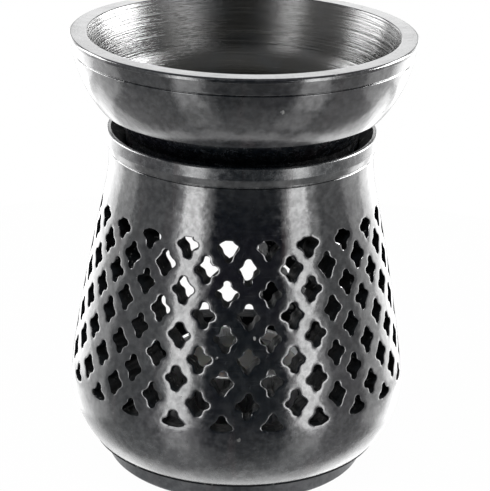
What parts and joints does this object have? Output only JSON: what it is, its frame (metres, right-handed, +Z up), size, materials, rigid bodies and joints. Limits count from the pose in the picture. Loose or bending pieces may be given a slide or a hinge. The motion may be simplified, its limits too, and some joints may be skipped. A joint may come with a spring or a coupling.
{
  "type": "essential oil burner",
  "caption": "Black carved soapstone oil burner: pierced lattice body with a rear candle door, a foot plate, a lift-off oil bowl and a tealight that comes out over the sill.",
  "frame": {"origin": "on the table, under the middle of the foot", "axes": "+Z up along the turning axis, +Y towards the candle door in the back wall, +X completes a right-handed frame"},
  "size_m": [0.095, 0.095, 0.124],
  "materials": {
    "soapstone": "polished black soapstone",
    "cup_aluminium": "thin pressed aluminium",
    "wax": "white paraffin wax",
    "wick_cotton": "waxed cotton",
    "clip_steel": "tinned steel"
  },
  "bodies": {
    "burner": {"pierced_body": "soapstone", "foot_plate": "soapstone"},
    "bowl": {"oil_bowl": "soapstone"},
    "tealight": {"tealight_cup": "cup_aluminium", "tealight_wax": "wax", "wick": "wick_cotton", "wick_clip": "clip_steel"}
  },
  "joints": [
    {"name": "bowl_lift", "type": "slide", "parent": "burner", "child": "bowl", "axis": [0, 0, 1], "range_m": [0, 0.045]},
    {"name": "tealight_slide", "type": "slide", "parent": "burner", "child": "tealight", "axis": [0, 0.9088, 0.4172], "range_m": [0, 0.077]}
  ]
}
